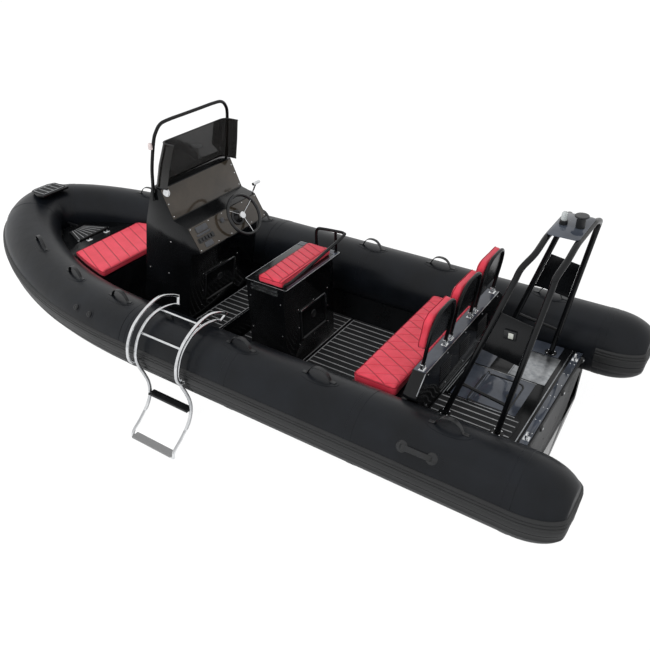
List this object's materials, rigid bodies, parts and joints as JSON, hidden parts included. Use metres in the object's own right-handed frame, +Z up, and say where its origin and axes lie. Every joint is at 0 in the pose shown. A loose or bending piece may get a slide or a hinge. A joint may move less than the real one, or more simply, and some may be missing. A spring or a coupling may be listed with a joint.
{
  "type": "rigid inflatable boat",
  "caption": "Open rigid inflatable boat with deep-V hull, centre console, leaning-post seat, rear bench with folding backrests, tow arch and boarding ladder",
  "frame": {"origin": "on the centreline at the waterline, at the aft face of the transom", "axes": "+X forward along the boat, +Y to port, +Z up"},
  "size_m": [5.821, 2.515, 2.1991],
  "materials": {
    "hull": "black coated aluminium hull plate",
    "tube_fabric": "black coated buoyancy tube fabric, satin",
    "strake_rubber": "black moulded rubber",
    "deck_pad": "black foam deck covering with grey grooves",
    "black_plate": "black powder coated aluminium plate",
    "black_plastic": "black moulded plastic",
    "black_tube": "black coated bent tube",
    "seat_vinyl": "red marine vinyl with sewn channels",
    "stainless": "polished stainless steel tube",
    "bright_metal": "bright lever",
    "light_lens": "clear and white lens",
    "tinted_glass": "dark tinted acrylic screen"
  },
  "bodies": {
    "boat": {"hull_shell": "hull", "transom": "hull", "sole": "deck_pad", "aft_deck": "black_plate", "port_tube": "tube_fabric", "starboard_tube": "tube_fabric", "bow_tube": "tube_fabric", "rub_strakes": "strake_rubber", "bow_step": "black_plastic", "bow_locker": "black_plate", "bow_cleat": "black_plastic", "bow_seat_cushion": "seat_vinyl", "console_body": "black_plate", "foot_step": "black_plate", "helm_bezel": "black_plastic", "throttle_control": "bright_metal", "nav_light": "light_lens", "windscreen": "tinted_glass", "windscreen_rail": "black_tube", "helm_seat_box": "black_plate", "helm_seat_cushion": "seat_vinyl", "helm_seat_rail": "black_tube", "rear_seat_box": "black_plate", "rear_seat_cushion": "seat_vinyl", "backrest_clevises": "stainless", "arch_frame": "black_tube", "arch_panels": "black_plate", "arch_plate": "black_plate", "anchor_light": "light_lens", "tow_post": "black_plastic", "boarding_ladder": "stainless", "ladder_treads": "black_plastic", "grab_handles": "strake_rubber", "stern_eyes": "stainless"},
    "steering": {"steering_wheel": "black_plastic"},
    "console_hatch": {"console_door": "black_plastic"},
    "helm_seat_hatch": {"helm_seat_door": "black_plastic"},
    "anchor_lid": {"anchor_locker_lid": "black_plate"},
    "aft_hatch": {"aft_hatch_lid": "black_plate"},
    "port_backrest": {"port_backrest_frame": "black_tube", "port_backrest_pad": "seat_vinyl"},
    "centre_backrest": {"centre_backrest_frame": "black_tube", "centre_backrest_pad": "seat_vinyl"},
    "starboard_backrest": {"starboard_backrest_frame": "black_tube", "starboard_backrest_pad": "seat_vinyl"}
  },
  "joints": [
    {"name": "steering_turn", "type": "hinge", "parent": "boat", "child": "steering", "pos_m": [2.726, -0.1, 1.068], "axis": [-0.8581, 0, 0.5135], "range_deg": [-765, 765]},
    {"name": "console_door_swing", "type": "hinge", "parent": "boat", "child": "console_hatch", "pos_m": [2.87537, 0.045, 0.40668], "axis": [0, -1, 0], "range_deg": [0, 85]},
    {"name": "helm_seat_door_swing", "type": "hinge", "parent": "boat", "child": "helm_seat_hatch", "pos_m": [1.952, -0.045, 0.285], "axis": [0, -1, 0], "range_deg": [0, 100]},
    {"name": "anchor_lid_swing", "type": "hinge", "parent": "boat", "child": "anchor_lid", "pos_m": [4.495, 0, 0.528], "axis": [0, -1, 0], "range_deg": [0, 95]},
    {"name": "aft_hatch_swing", "type": "hinge", "parent": "boat", "child": "aft_hatch", "pos_m": [0.482, 0.13, 0.448], "axis": [0, 1, 0], "range_deg": [0, 100]},
    {"name": "port_backrest_fold", "type": "hinge", "parent": "boat", "child": "port_backrest", "pos_m": [0.704, 0.398, 0.801], "axis": [0, 1, 0], "range_deg": [0, 99]},
    {"name": "centre_backrest_fold", "type": "hinge", "parent": "boat", "child": "centre_backrest", "pos_m": [0.704, 0, 0.801], "axis": [0, 1, 0], "range_deg": [0, 99]},
    {"name": "starboard_backrest_fold", "type": "hinge", "parent": "boat", "child": "starboard_backrest", "pos_m": [0.704, -0.398, 0.801], "axis": [0, 1, 0], "range_deg": [0, 99]}
  ]
}
